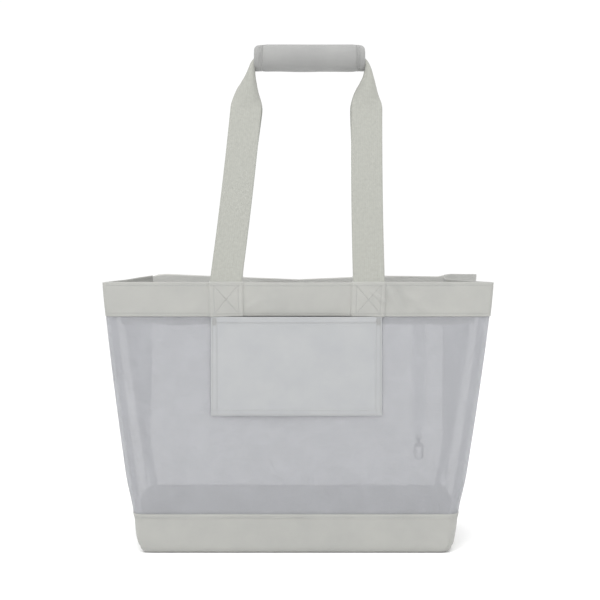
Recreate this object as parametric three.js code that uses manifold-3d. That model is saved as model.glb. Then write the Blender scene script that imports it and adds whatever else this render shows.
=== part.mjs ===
// A mesh beach tote: an opaque band round the rim, see-through mesh walls with folded gussets, an opaque
// base boot, a front patch pocket, two webbing straps held together by a hook-and-loop padded grip, and a
// key leash with a swivel snap hook inside. Millimetres, +Z up, the front faces -Y, and the origin is the
// centre of the base's underside.
import * as THREE from "three";
import { mergeVertices } from "three/addons/utils/BufferGeometryUtils.js";
import Module from "manifold-3d";

const wasm = await Module();
wasm.setup();

// Bag body
const RIM_Z = 336.5;
const BAND_HEIGHT = 41;
const BAND_BOTTOM_Z = RIM_Z - BAND_HEIGHT;
const BASE_TOP_Z = 49.5;
const RIM_HALF_WIDTH = 240;
const BASE_TOP_HALF_WIDTH = 203.5;
const SIDE_CURVE = 1.2;
const CREASE_HALF_WIDTH = 189;
const CREASE_BASE_HALF_WIDTH = 198;
const CREASE_CURVE = 4;
const RIM_HALF_DEPTH = 70;
const BASE_HALF_DEPTH = 80;
const GAP = 0.3;
const MESH_THICK = 1.2;
const BAND_THICK = 2.2;
const GUSSET_SPREAD = 1.25;

// Base
const BOOT_THICK = 2;
const BOOT_BOTTOM_RADIUS = 8;
const BOOT_BOTTOM_HALF_WIDTH = 194;
const BOOT_CORNER_RADIUS = 8;
const BOOT_SIDE_CURVE = 0.6;
const BOARD_THICK = 2.5;
const BOARD_MARGIN = 2;
const LINING_THICK = 0.8;
const LINING_DROP = 2;
const TRAY_EDGE_STEPS = 4;
const TRAY_WALL_STEPS = 4;
const CORNER_STEPS = 4;

// Inside seam bindings
const BINDING_WIDTH = 8;
const BINDING_THICK = 1;
const BINDING_INSET = 5;

// Front patch pocket
const POCKET_LEFT = -107;
const POCKET_RIGHT = 103;
const POCKET_BOTTOM_Z = 172.5;
const POCKET_TOP_Z = 294;
const POCKET_THICK = 1.2;
const POCKET_BULGE = 7.5;

// Straps and grip
const STRAP_WIDTH = 38;
const STRAP_THICK = 2;
const STRAP_HINGE_GAP = 0.6;
const STRAP_RIM_X = { front: [-89, 87.2], back: [-94.5, 93.9] };
const STRAP_FLAT_X = [-65.6, 86.8];
const STRAP_FLAT_Z = 554.5;
const STRAP_HALF_FOLDED_Z = 579.5;
const STRAP_HALF_FOLDED = [24, 3];
const STRAP_BUNDLED_Z = 602.5;
const BUNDLE_HEIGHT = 9.6;
const BUNDLE_THICK = 7.2;
const BUNDLE_OFFSET_Y = 4;
const BUNDLE_TURN_RADIUS = 6;
const BUNDLE_TURN_STEPS = 4;
const GRIP_LEFT = -56;
const GRIP_RIGHT = 85;
const GRIP_Z = 618.9;
const GRIP_RADIUS = 17.1;
const GRIP_COVER_THICK = 1;
const GRIP_FOAM_INNER_RADIUS = 10.2;
const GRIP_SPLIT_DEG = 1;
const GRIP_FLAP_END_DEG = 268;
const GRIP_LAP_START_DEG = 235;
const GRIP_TAPE_THICK = 0.5;
const GRIP_END_INSET = 1;
const GRIP_FOAM_BACK_END_DEG = -64;
const GRIP_HOOK_START_DEG = -68;
const GRIP_STEP_DEG = 12;

// Key leash and snap hook
const LEASH_X = 150;
const LEASH_Y = -68.8;
const LEASH_WIDTH = 15;
const LEASH_THICK = 1.4;
const LEASH_TOP_Z = 294;
const LEASH_TAPER_Z = 162.5;
const LEASH_LOOP_Z = 147.8;
const LEASH_LOOP_WIDTH = 3.4;
const LEASH_LOOP_RADIUS = 2.2;
const LEASH_HOLE_RADIUS = 1.6;
const EYE_REST_DROP = 0.2;
const EYE_RADIUS = 3.6;
const EYE_WIRE_RADIUS = 0.9;
const EYE_BARREL_RADIUS = 2.4;
const EYE_BORE_RADIUS = 1.4;
const STEM_RADIUS = 1.1;
const RIVET_RADIUS = 1.9;
const RIVET_HEIGHT = 0.8;
const HOOK_TOP_Z = 138;
const HOOK_BOTTOM_Z = 115.5;
const HOOK_HALF_WIDTH = 6;
const HOOK_BAR = 2.3;
const HOOK_THICK = 3.6;
const HOOK_COLLAR_HALF = 2.6;
const HOOK_SHOULDER = 3.4;
const HOOK_EAR_Z = HOOK_TOP_Z - 6;
const HOOK_CURVE_Z = HOOK_BOTTOM_Z + HOOK_HALF_WIDTH;
const HOOK_NOSE_Z = HOOK_CURVE_Z + 1.5;
const HOOK_SLOT = 2;
const HOOK_SLOT_START = 3;
const HOOK_SLOT_HEIGHT = 4.8;
const GATE_THICK = 1.4;
const GATE_PIN_RADIUS = 0.6;
const GATE_PIVOT_X = HOOK_HALF_WIDTH - HOOK_BAR / 2;
const GATE_PIVOT_Z = HOOK_TOP_Z - 4.6;
const GATE_KNOB = 1.2;
const GATE_KNOB_Z = GATE_PIVOT_Z - 4;
const PIN_GAP = 0.12;
const RIVET_GAP = 0.8;

const COLOUR = {
  cloth: 0xb9bbb3,
  mesh: 0xc2c5cc,
  pocket: 0xc4c7c8,
  webbing: 0xc0c1b8,
  board: 0x8c8c88,
  foam: 0x6c6c68,
  tape: 0xb4b5b4,
  metal: 0xd8d8da,
};

const DEG = Math.PI / 180;
const lerp = THREE.MathUtils.lerp;
const root = new THREE.Group();

// ---- helpers ----

function addMesh(name, geometry, colour, roughness = 0.9, metalness = 0) {
  const material = new THREE.MeshStandardMaterial({ color: colour, roughness, metalness });
  const mesh = new THREE.Mesh(geometry, material);
  mesh.name = name;
  root.add(mesh);
  return mesh;
}

function signedVolume(points, triangles) {
  let sum = 0;
  for (let i = 0; i < triangles.length; i += 3) {
    const [a, b, c] = [0, 1, 2].map((k) => points[triangles[i + k]]);
    sum += a.dot(b.clone().cross(c)) / 6;
  }
  return sum;
}

// A closed surface as a geometry, turned so that its faces point out.
function closedGeometry(points, triangles) {
  if (signedVolume(points, triangles) < 0) triangles.reverse();
  const geometry = new THREE.BufferGeometry().setFromPoints(points);
  geometry.setIndex(triangles);
  geometry.computeVertexNormals();
  return geometry;
}

// Quads between two rings of points. From flipFrom on, each is split along its other diagonal.
function stitchRings(triangles, low, high, count, flipFrom = count) {
  for (let i = 0; i < count; i += 1) {
    const j = (i + 1) % count;
    if (i < flipFrom) triangles.push(low + i, low + j, high + j, low + i, high + j, high + i);
    else triangles.push(low + i, low + j, high + i, low + j, high + j, high + i);
  }
}

// Joins equal rings of points into a tube and closes its two ends, whose rings are convex.
function ringLoft(rings) {
  const size = rings[0].length;
  const triangles = [];
  for (let k = 0; k + 1 < rings.length; k += 1) {
    stitchRings(triangles, k * size, (k + 1) * size, size);
  }
  const last = (rings.length - 1) * size;
  for (let i = 1; i + 1 < size; i += 1) {
    triangles.push(0, i + 1, i, last, last + i, last + i + 1);
  }
  return closedGeometry(rings.flat(), triangles);
}

// A cloth solid: near(u, v) and far(u, v) give its two faces, with u across and v up, both from 0 to 1.
// Both faces are split along the same diagonals, so a twisted cloth keeps its thickness.
function clothSolid(across, up, near, far) {
  const rings = [];
  for (let row = 0; row <= up; row += 1) {
    const ring = [];
    for (let i = 0; i <= across; i += 1) ring.push(near(i / across, row / up));
    for (let i = across; i >= 0; i -= 1) ring.push(far(i / across, row / up));
    rings.push(ring);
  }
  const size = 2 * (across + 1);
  const triangles = [];
  for (let k = 0; k < up; k += 1) {
    stitchRings(triangles, k * size, (k + 1) * size, size, across + 1);
  }
  const last = up * size;
  for (let i = 0; i < across; i += 1) {
    const opposite = size - 1 - i;
    triangles.push(i, opposite, opposite - 1, i, opposite - 1, i + 1);
    triangles.push(last + i, last + opposite - 1, last + opposite);
    triangles.push(last + i, last + i + 1, last + opposite - 1);
  }
  return closedGeometry(rings.flat(), triangles);
}

function solidOf(geometry) {
  const bare = geometry.clone();
  bare.deleteAttribute("normal");
  bare.deleteAttribute("uv");
  const merged = mergeVertices(bare, 1e-4);
  return new wasm.Manifold(
    new wasm.Mesh({
      numProp: 3,
      vertProperties: merged.attributes.position.array,
      triVerts: new Uint32Array(merged.index.array),
    }),
  );
}

function geometryOf(solid) {
  const cut = solid.getMesh();
  const geometry = new THREE.BufferGeometry();
  geometry.setAttribute("position", new THREE.BufferAttribute(cut.vertProperties, 3));
  geometry.setIndex(new THREE.BufferAttribute(cut.triVerts, 1));
  geometry.computeVertexNormals();
  return geometry;
}

// A cylinder standing on Z between two heights.
function post(radius, low, high, x, y, sides = 20) {
  const geometry = new THREE.CylinderGeometry(radius, radius, high - low, sides);
  geometry.rotateX(90 * DEG);
  geometry.translate(x, y, (low + high) / 2);
  return geometry;
}

// ---- the bag's own lines ----

// How far down a height is, from 0 at the rim to 1 at the base's top.
function down(z) {
  return (RIM_Z - z) / (RIM_Z - BASE_TOP_Z);
}

function halfWidth(z) {
  return lerp(RIM_HALF_WIDTH, BASE_TOP_HALF_WIDTH, down(z) ** SIDE_CURVE);
}

// The gusset's fold line, which runs out towards the side where it meets the base.
function creaseHalfWidth(z) {
  return lerp(CREASE_HALF_WIDTH, CREASE_BASE_HALF_WIDTH, down(z) ** CREASE_CURVE);
}

function halfDepth(z) {
  return lerp(RIM_HALF_DEPTH, BASE_HALF_DEPTH, down(z));
}

// ---- walls ----

// A flat front or back wall: facing is -1 for the front and 1 for the back.
function wallGeometry(facing, lowZ, highZ, thick, rows) {
  const place = (out) => (u, v) => {
    const z = lerp(lowZ, highZ, v);
    return new THREE.Vector3(lerp(-1, 1, u) * halfWidth(z), facing * (halfDepth(z) + out), z);
  };
  return clothSolid(1, rows, place(0), place(thick));
}

// A side wall folded inward along its middle: side is -1 for the left and 1 for the right.
function gussetGeometry(side, lowZ, highZ, thick, rows) {
  const place = (inward) => (u, v) => {
    const z = lerp(lowZ, highZ, v);
    const across = lerp(-1, 1, u);
    const x = lerp(creaseHalfWidth(z), halfWidth(z), Math.abs(across));
    return new THREE.Vector3(side * (x - inward), across * (halfDepth(z) - GAP), z);
  };
  return clothSolid(2, rows, place(0), place(thick * GUSSET_SPREAD));
}

function addWalls() {
  for (const [name, facing] of [["front", -1], ["back", 1]]) {
    const mesh = wallGeometry(facing, BASE_TOP_Z + GAP, BAND_BOTTOM_Z - GAP, MESH_THICK, 8);
    addMesh(`${name}_mesh_panel`, mesh, COLOUR.mesh);
    const band = wallGeometry(facing, BAND_BOTTOM_Z, RIM_Z, BAND_THICK, 2);
    addMesh(`${name}_top_band`, band, COLOUR.cloth);
  }
  for (const [name, side] of [["left", -1], ["right", 1]]) {
    const mesh = gussetGeometry(side, BASE_TOP_Z + GAP, BAND_BOTTOM_Z - GAP, MESH_THICK, 8);
    addMesh(`${name}_mesh_gusset`, mesh, COLOUR.mesh);
    const band = gussetGeometry(side, BAND_BOTTOM_Z, RIM_Z, BAND_THICK, 2);
    addMesh(`${name}_top_band`, band, COLOUR.cloth);
  }
}

// The cloth strip that covers a corner seam's raw edges, on the inner face of the front or back wall.
function bindingGeometry(facing, side) {
  const place = (out) => (u, v) => {
    const z = lerp(BASE_TOP_Z + GAP, BAND_BOTTOM_Z - GAP, v);
    const x = halfWidth(z) - BINDING_INSET - u * BINDING_WIDTH;
    return new THREE.Vector3(side * x, facing * (halfDepth(z) - GAP - out), z);
  };
  return clothSolid(1, 8, place(0), place(BINDING_THICK));
}

function addBindings() {
  for (const [face, facing] of [["front", -1], ["back", 1]]) {
    for (const [name, side] of [["left", -1], ["right", 1]]) {
      addMesh(`${face}_${name}_seam_binding`, bindingGeometry(facing, side), COLOUR.tape);
    }
  }
}

// ---- base ----

// A rounded rectangle of points at one height.
function roundedRing(halfX, halfY, radius, z) {
  const ring = [];
  for (const [corner, sx, sy] of [[0, 1, 1], [1, -1, 1], [2, -1, -1], [3, 1, -1]]) {
    for (let i = 0; i <= CORNER_STEPS; i += 1) {
      const angle = (corner + i / CORNER_STEPS) * 90 * DEG;
      const x = sx * (halfX - radius) + radius * Math.cos(angle);
      const y = sy * (halfY - radius) + radius * Math.sin(angle);
      ring.push(new THREE.Vector3(x, y, z));
    }
  }
  return ring;
}

// The boot's outer half width and half depth at a height, with its rounded lower edge.
function bootHalf(z) {
  const depth = BASE_HALF_DEPTH + BOOT_THICK;
  if (z >= BOOT_BOTTOM_RADIUS) {
    const up = (z - BOOT_BOTTOM_RADIUS) / (BASE_TOP_Z - BOOT_BOTTOM_RADIUS);
    return [lerp(BOOT_BOTTOM_HALF_WIDTH, BASE_TOP_HALF_WIDTH, up ** BOOT_SIDE_CURVE), depth];
  }
  const left = BOOT_BOTTOM_RADIUS - z;
  const inset = BOOT_BOTTOM_RADIUS - Math.sqrt(BOOT_BOTTOM_RADIUS ** 2 - left ** 2);
  return [BOOT_BOTTOM_HALF_WIDTH - inset, depth - inset];
}

// An open-topped tray that follows the boot's outline, inset from it, from a floor height up.
function trayGeometry(inset, thick, floorZ, topZ) {
  const heights = [];
  for (let i = 0; i < TRAY_EDGE_STEPS; i += 1) {
    heights.push(BOOT_BOTTOM_RADIUS * (1 - Math.cos((i / TRAY_EDGE_STEPS) * 90 * DEG)));
  }
  for (let i = 0; i < TRAY_WALL_STEPS; i += 1) {
    heights.push(lerp(BOOT_BOTTOM_RADIUS, BASE_TOP_Z, i / TRAY_WALL_STEPS));
  }
  const ringAt = (z, wallInset, atZ) => {
    const [halfX, halfY] = bootHalf(z);
    return roundedRing(halfX - wallInset, halfY - wallInset, BOOT_CORNER_RADIUS - wallInset, atZ);
  };
  const outer = heights.filter((z) => z > floorZ && z < topZ);
  const inner = outer.filter((z) => z > floorZ + thick).reverse();
  const foot = Math.max(floorZ, 0);
  const rings = [ringAt(foot, inset, foot)];
  for (const z of outer) rings.push(ringAt(z, inset, z));
  rings.push(ringAt(topZ, inset, topZ));
  rings.push(ringAt(topZ, inset + thick, topZ));
  for (const z of inner) rings.push(ringAt(z, inset + thick, z));
  rings.push(ringAt(foot, inset + thick, foot + thick));
  return ringLoft(rings);
}

function addBase() {
  addMesh("base_boot", trayGeometry(0, BOOT_THICK, 0, BASE_TOP_Z), COLOUR.cloth);
  const boardBottom = BOOT_THICK + GAP;
  const boardTop = boardBottom + BOARD_THICK;
  const [halfX, halfY] = bootHalf(0);
  const board = [boardBottom, boardTop].map((z) =>
    roundedRing(halfX - BOARD_MARGIN, halfY - BOARD_MARGIN, BOOT_CORNER_RADIUS, z));
  addMesh("base_board", ringLoft(board), COLOUR.board);
  const lining = trayGeometry(BOOT_THICK + GAP, LINING_THICK, boardTop + GAP, BASE_TOP_Z - LINING_DROP);
  addMesh("base_lining", lining, COLOUR.cloth);
}

// ---- pocket ----

// How far the pocket stands off the wall: sewn down at its sides and bottom, slack at its mouth.
function pocketStandOff(u, v) {
  const slackAcross = 1 - Math.abs(2 * u - 1) ** 6;
  return GAP + POCKET_BULGE * slackAcross * v ** 0.7;
}

function addPocket() {
  const place = (out) => (u, v) => {
    const z = lerp(POCKET_BOTTOM_Z, POCKET_TOP_Z, v);
    const y = -halfDepth(z) - MESH_THICK - pocketStandOff(u, v) - out;
    return new THREE.Vector3(lerp(POCKET_LEFT, POCKET_RIGHT, u), y, z);
  };
  addMesh("front_pocket", clothSolid(20, 8, place(0), place(POCKET_THICK)), COLOUR.pocket);
}

// ---- straps ----

function strapEndGeometry(facing, x) {
  const place = (out) => (u, v) => {
    const z = lerp(BAND_BOTTOM_Z + GAP, RIM_Z, v);
    const y = facing * (halfDepth(z) + BAND_THICK + GAP + out);
    return new THREE.Vector3(x + (u - 0.5) * STRAP_WIDTH, y, z);
  };
  return clothSolid(1, 1, place(0), place(STRAP_THICK));
}

// A rectangular section of the strap: across is its width direction and out its thickness direction.
function strapRing(centre, across, width, out, thick) {
  return [[-1, -1], [1, -1], [1, 1], [-1, 1]].map(([a, b]) =>
    centre.clone().addScaledVector(across, (a * width) / 2).addScaledVector(out, (b * thick) / 2));
}

// One leg's sections, from the rim up to the grip's end, where the strap is folded to a bundle.
function legRings(facing, side, rimX, flatX, gripX) {
  const rimY = facing * (RIM_HALF_DEPTH + BAND_THICK + GAP + STRAP_THICK / 2);
  const bundleY = facing * BUNDLE_OFFSET_Y;
  const bundleX = gripX + side * BUNDLE_TURN_RADIUS;
  const turnZ = GRIP_Z - BUNDLE_TURN_RADIUS;
  const yAt = (z) => lerp(rimY, bundleY, (z - RIM_Z) / (turnZ - RIM_Z));
  const right = new THREE.Vector3(1, 0, 0);
  const out = new THREE.Vector3(0, facing, 0);
  const sections = [
    [rimX, RIM_Z + STRAP_HINGE_GAP, STRAP_WIDTH, STRAP_THICK],
    [flatX, STRAP_FLAT_Z, STRAP_WIDTH, STRAP_THICK],
    [lerp(flatX, bundleX, 0.5), STRAP_HALF_FOLDED_Z, ...STRAP_HALF_FOLDED],
    [bundleX, STRAP_BUNDLED_Z, BUNDLE_HEIGHT, BUNDLE_THICK],
  ];
  const rings = sections.map(([x, z, width, thick]) =>
    strapRing(new THREE.Vector3(x, yAt(z), z), right, width, out, thick));
  for (let i = 0; i <= BUNDLE_TURN_STEPS; i += 1) {
    const angle = (i / BUNDLE_TURN_STEPS) * 90 * DEG;
    const x = gripX + side * BUNDLE_TURN_RADIUS * Math.cos(angle);
    const z = turnZ + BUNDLE_TURN_RADIUS * Math.sin(angle);
    const across = new THREE.Vector3(Math.cos(angle), 0, side * Math.sin(angle));
    rings.push(strapRing(new THREE.Vector3(x, bundleY, z), across, BUNDLE_HEIGHT, out, BUNDLE_THICK));
  }
  return rings;
}

function addStrap(name, facing) {
  const [leftX, rightX] = STRAP_RIM_X[name];
  addMesh(`${name}_strap_left_end`, strapEndGeometry(facing, leftX), COLOUR.webbing);
  addMesh(`${name}_strap_right_end`, strapEndGeometry(facing, rightX), COLOUR.webbing);
  const left = legRings(facing, -1, leftX, STRAP_FLAT_X[0], GRIP_LEFT);
  // The right leg is walked down from the grip, so its sections run the other way round.
  const right = legRings(facing, 1, rightX, STRAP_FLAT_X[1], GRIP_RIGHT).reverse();
  const flipped = right.map(([a, b, c, d]) => [b, a, d, c]);
  addMesh(`${name}_strap`, ringLoft([...left, ...flipped]), COLOUR.webbing);
}

// ---- grip ----

// A shell round the grip's axis, between two radii and two angles from the rear (+Y) over the top.
function gripShell(innerRadius, outerRadius, startDeg, endDeg, inset) {
  const steps = Math.ceil(Math.abs(endDeg - startDeg) / GRIP_STEP_DEG);
  const place = (radius) => (u, v) => {
    const angle = lerp(startDeg, endDeg, u) * DEG;
    const x = lerp(GRIP_LEFT + inset, GRIP_RIGHT - inset, v);
    return new THREE.Vector3(x, radius * Math.cos(angle), GRIP_Z + radius * Math.sin(angle));
  };
  return clothSolid(steps, 1, place(innerRadius), place(outerRadius));
}

function addGrip() {
  const coverInner = GRIP_RADIUS - GRIP_COVER_THICK;
  const foamOuter = coverInner - GAP;
  const top = 90;
  const flapStart = top + GRIP_SPLIT_DEG;
  const backStart = top - GRIP_SPLIT_DEG;
  const backEnd = GRIP_FLAP_END_DEG + 2 * GRIP_SPLIT_DEG - 360;
  const hookEnd = GRIP_LAP_START_DEG - 360;
  const loopOuter = coverInner - GAP;
  const loopInner = loopOuter - GRIP_TAPE_THICK;
  const hookOuter = loopInner - GAP;
  const inset = GRIP_END_INSET;
  addMesh("grip_back_cover", gripShell(coverInner, GRIP_RADIUS, backStart, backEnd, 0), COLOUR.cloth);
  const backFoam = gripShell(GRIP_FOAM_INNER_RADIUS, foamOuter, backStart, GRIP_FOAM_BACK_END_DEG, inset);
  addMesh("grip_back_foam", backFoam, COLOUR.foam);
  const hook = gripShell(hookOuter - GRIP_TAPE_THICK, hookOuter, GRIP_HOOK_START_DEG, hookEnd, inset);
  addMesh("grip_hook_strip", hook, COLOUR.tape);
  const flapCover = gripShell(coverInner, GRIP_RADIUS, flapStart, GRIP_FLAP_END_DEG, 0);
  addMesh("grip_flap_cover", flapCover, COLOUR.cloth);
  const flapFoamEnd = GRIP_LAP_START_DEG - 2 * GRIP_SPLIT_DEG;
  const flapFoam = gripShell(GRIP_FOAM_INNER_RADIUS, foamOuter, flapStart, flapFoamEnd, inset);
  addMesh("grip_flap_foam", flapFoam, COLOUR.foam);
  const loop = gripShell(loopInner, loopOuter, GRIP_LAP_START_DEG, GRIP_FLAP_END_DEG, inset);
  addMesh("grip_loop_strip", loop, COLOUR.tape);
}

// ---- key leash and snap hook ----

// The tape, gathered at its lower end into a loop round the swivel's eye.
function leashTapeGeometry() {
  const section = (z, width, thick) =>
    strapRing(
      new THREE.Vector3(LEASH_X, LEASH_Y, z),
      new THREE.Vector3(1, 0, 0),
      width,
      new THREE.Vector3(0, 1, 0),
      thick,
    );
  const thickEnd = 2 * LEASH_LOOP_RADIUS;
  const tape = ringLoft([
    section(LEASH_TOP_Z, LEASH_WIDTH, LEASH_THICK),
    section(LEASH_TAPER_Z, LEASH_WIDTH, LEASH_THICK),
    section(LEASH_LOOP_Z + 2 * LEASH_LOOP_RADIUS, LEASH_LOOP_WIDTH + 2, LEASH_THICK * 2),
    section(LEASH_LOOP_Z + LEASH_LOOP_RADIUS, LEASH_LOOP_WIDTH, thickEnd),
    section(LEASH_LOOP_Z - LEASH_LOOP_RADIUS / 2, LEASH_LOOP_WIDTH, thickEnd),
    section(LEASH_LOOP_Z - LEASH_LOOP_RADIUS, LEASH_LOOP_WIDTH, LEASH_LOOP_RADIUS),
  ]);
  const hole = new THREE.CylinderGeometry(LEASH_HOLE_RADIUS, LEASH_HOLE_RADIUS, LEASH_WIDTH, 16);
  hole.rotateZ(90 * DEG);
  hole.translate(LEASH_X, LEASH_Y, LEASH_LOOP_Z);
  return geometryOf(solidOf(tape).subtract(solidOf(hole)));
}

// The swivel's eye: a ring on a short barrel, bored for the hook's stem up into the ring.
function swivelEyeGeometry() {
  const ringZ = LEASH_LOOP_Z + EYE_REST_DROP - EYE_RADIUS;
  const ring = new THREE.TorusGeometry(EYE_RADIUS, EYE_WIRE_RADIUS, 10, 28);
  ring.rotateX(90 * DEG);
  ring.translate(LEASH_X, LEASH_Y, ringZ);
  const barrelTop = ringZ - EYE_RADIUS + EYE_WIRE_RADIUS + EYE_REST_DROP;
  const barrel = post(EYE_BARREL_RADIUS, HOOK_TOP_Z + GAP, barrelTop, LEASH_X, LEASH_Y);
  const bore = post(EYE_BORE_RADIUS, HOOK_TOP_Z, barrelTop + RIVET_GAP, LEASH_X, LEASH_Y);
  const whole = solidOf(ring).add(solidOf(barrel)).subtract(solidOf(bore));
  return { geometry: geometryOf(whole), barrelTop };
}

// The hook's outline in its own plane: collar, spine, round bottom and nose, open at the gate's side.
function hookOutline() {
  const inner = HOOK_HALF_WIDTH - HOOK_BAR;
  const shape = new THREE.Shape();
  shape.moveTo(HOOK_COLLAR_HALF, HOOK_TOP_Z);
  shape.lineTo(-HOOK_COLLAR_HALF, HOOK_TOP_Z);
  shape.lineTo(-HOOK_HALF_WIDTH, HOOK_TOP_Z - HOOK_SHOULDER);
  shape.lineTo(-HOOK_HALF_WIDTH, HOOK_CURVE_Z);
  shape.absarc(0, HOOK_CURVE_Z, HOOK_HALF_WIDTH, Math.PI, 2 * Math.PI, false);
  shape.lineTo(HOOK_HALF_WIDTH, HOOK_NOSE_Z);
  shape.lineTo(inner, HOOK_NOSE_Z);
  shape.lineTo(inner, HOOK_CURVE_Z);
  shape.absarc(0, HOOK_CURVE_Z, inner, 2 * Math.PI, Math.PI, true);
  shape.lineTo(-inner, HOOK_EAR_Z);
  shape.lineTo(HOOK_HALF_WIDTH, HOOK_EAR_Z);
  shape.lineTo(HOOK_HALF_WIDTH, HOOK_TOP_Z - HOOK_SHOULDER);
  return shape;
}

// Extrudes an outline drawn in x and z to a plate centred on the leash.
function plateGeometry(shape, thick, curveSegments = 8) {
  const plate = new THREE.ExtrudeGeometry(shape, { depth: thick, bevelEnabled: false, curveSegments });
  plate.rotateX(90 * DEG);
  plate.translate(LEASH_X, LEASH_Y + thick / 2, 0);
  return plate;
}

// The gate pin's cylinder, lying along Y.
function pinGeometry(radius, length) {
  const pin = new THREE.CylinderGeometry(radius, radius, length, 16);
  pin.translate(LEASH_X + GATE_PIVOT_X, LEASH_Y, GATE_PIVOT_Z);
  return pin;
}

// The hook, with its swivel stem, and the two ears that hold the gate's pin.
function hookBodyGeometry(barrelTop) {
  const stem = post(STEM_RADIUS, HOOK_TOP_Z - 1, barrelTop + RIVET_GAP, LEASH_X, LEASH_Y);
  const slotLength = 2 * HOOK_HALF_WIDTH;
  const slot = new THREE.BoxGeometry(slotLength, HOOK_SLOT, HOOK_SLOT_HEIGHT);
  slot.translate(LEASH_X + HOOK_SLOT_START + slotLength / 2, LEASH_Y, HOOK_EAR_Z + HOOK_SLOT_HEIGHT / 2 - 1);
  const pinHole = pinGeometry(GATE_PIN_RADIUS + PIN_GAP, 2 * HOOK_THICK);
  const plate = solidOf(plateGeometry(hookOutline(), HOOK_THICK));
  return geometryOf(plate.add(solidOf(stem)).subtract(solidOf(slot)).subtract(solidOf(pinHole)));
}

// The sprung gate that closes the hook's mouth, with its thumb knob.
function gateGeometry() {
  const half = HOOK_BAR / 2;
  const outer = GATE_PIVOT_X + half;
  const shape = new THREE.Shape();
  shape.moveTo(GATE_PIVOT_X - half, GATE_PIVOT_Z);
  shape.lineTo(GATE_PIVOT_X - half, HOOK_NOSE_Z + GAP);
  shape.lineTo(outer, HOOK_NOSE_Z + GAP);
  shape.lineTo(outer, GATE_KNOB_Z - GATE_KNOB);
  shape.lineTo(outer + GATE_KNOB, GATE_KNOB_Z - GATE_KNOB / 2);
  shape.lineTo(outer + GATE_KNOB, GATE_KNOB_Z + GATE_KNOB / 2);
  shape.lineTo(outer, GATE_KNOB_Z + GATE_KNOB);
  shape.lineTo(outer, GATE_PIVOT_Z);
  shape.absarc(GATE_PIVOT_X, GATE_PIVOT_Z, half, 0, Math.PI, false);
  const hole = new THREE.Path();
  hole.absarc(GATE_PIVOT_X, GATE_PIVOT_Z, GATE_PIN_RADIUS + PIN_GAP, 0, 2 * Math.PI, true);
  shape.holes.push(hole);
  return plateGeometry(shape, GATE_THICK, 6);
}

function addMetal(name, geometry) {
  addMesh(name, geometry, COLOUR.metal, 0.25, 1);
}

function addLeash() {
  addMesh("leash_tape", leashTapeGeometry(), COLOUR.tape);
  const eye = swivelEyeGeometry();
  addMetal("swivel_eye", eye.geometry);
  addMetal("hook_body", hookBodyGeometry(eye.barrelTop));
  const headLow = eye.barrelTop + RIVET_GAP + PIN_GAP;
  addMetal("swivel_rivet", post(RIVET_RADIUS, headLow, headLow + RIVET_HEIGHT, LEASH_X, LEASH_Y));
  addMetal("hook_gate", gateGeometry());
  addMetal("gate_pin", pinGeometry(GATE_PIN_RADIUS, HOOK_THICK));
}

addWalls();
addBindings();
addBase();
addPocket();
addStrap("front", -1);
addStrap("back", 1);
addGrip();
addLeash();

export default root;
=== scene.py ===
import math

import bmesh
import bpy
import numpy as np
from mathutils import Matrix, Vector, noise


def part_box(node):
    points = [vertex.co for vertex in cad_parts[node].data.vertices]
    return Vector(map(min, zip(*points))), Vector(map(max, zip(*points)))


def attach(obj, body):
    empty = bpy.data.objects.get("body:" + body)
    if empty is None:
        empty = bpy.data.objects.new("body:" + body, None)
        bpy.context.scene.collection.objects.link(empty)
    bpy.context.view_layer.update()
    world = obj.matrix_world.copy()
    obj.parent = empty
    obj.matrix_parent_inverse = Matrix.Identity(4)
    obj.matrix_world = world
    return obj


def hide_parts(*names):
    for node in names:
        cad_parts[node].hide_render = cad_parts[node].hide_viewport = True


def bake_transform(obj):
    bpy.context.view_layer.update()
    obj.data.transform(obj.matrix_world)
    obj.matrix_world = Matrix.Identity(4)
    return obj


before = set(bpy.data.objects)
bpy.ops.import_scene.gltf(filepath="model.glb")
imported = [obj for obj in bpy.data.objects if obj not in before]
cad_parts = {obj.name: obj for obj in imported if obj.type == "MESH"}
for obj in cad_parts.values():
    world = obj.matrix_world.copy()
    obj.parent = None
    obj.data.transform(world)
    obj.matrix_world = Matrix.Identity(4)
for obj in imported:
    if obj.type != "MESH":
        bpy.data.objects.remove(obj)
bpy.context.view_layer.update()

MM = 0.001

# The bag's main lines, from the frame.
RIM_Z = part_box("front_top_band")[1].z
BAND_LOW_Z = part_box("front_top_band")[0].z
BASE_TOP_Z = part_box("base_boot")[1].z
RIM_HALF_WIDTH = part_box("front_top_band")[1].x
BASE_HALF_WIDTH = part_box("base_boot")[1].x
BASE_HALF_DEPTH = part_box("base_boot")[1].y
NET_BASE_HALF_DEPTH = 80 * MM
RIM_HALF_DEPTH = 70 * MM
SIDE_CURVE = 1.2
CREASE_RIM_X = 189 * MM
CREASE_BASE_X = 198 * MM
CREASE_CURVE = 4
NET_THICK = 0.5 * MM
BAND_THICK = 2.2 * MM
FOOT_LEAN = -2.8 * MM
CORNER_ROUND = 15 * MM


def down(z):
    """How far down the mesh wall a height is: 0 at the rim, 1 at the boot's top edge."""
    return (RIM_Z - z) / (RIM_Z - BASE_TOP_Z)


def half_width(z):
    share = np.clip(down(z), 0, None) ** SIDE_CURVE
    return RIM_HALF_WIDTH + (BASE_HALF_WIDTH - RIM_HALF_WIDTH) * share


def crease_x(z):
    share = np.clip(down(z), 0, None) ** CREASE_CURVE
    return CREASE_RIM_X + (CREASE_BASE_X - CREASE_RIM_X) * share


def half_depth(z):
    return RIM_HALF_DEPTH + (NET_BASE_HALF_DEPTH - RIM_HALF_DEPTH) * down(z)


def lean(z):
    """The soft body stands a little askew: its foot sits to the left of its rim."""
    return FOOT_LEAN * np.clip(down(z), 0, 1)


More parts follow.
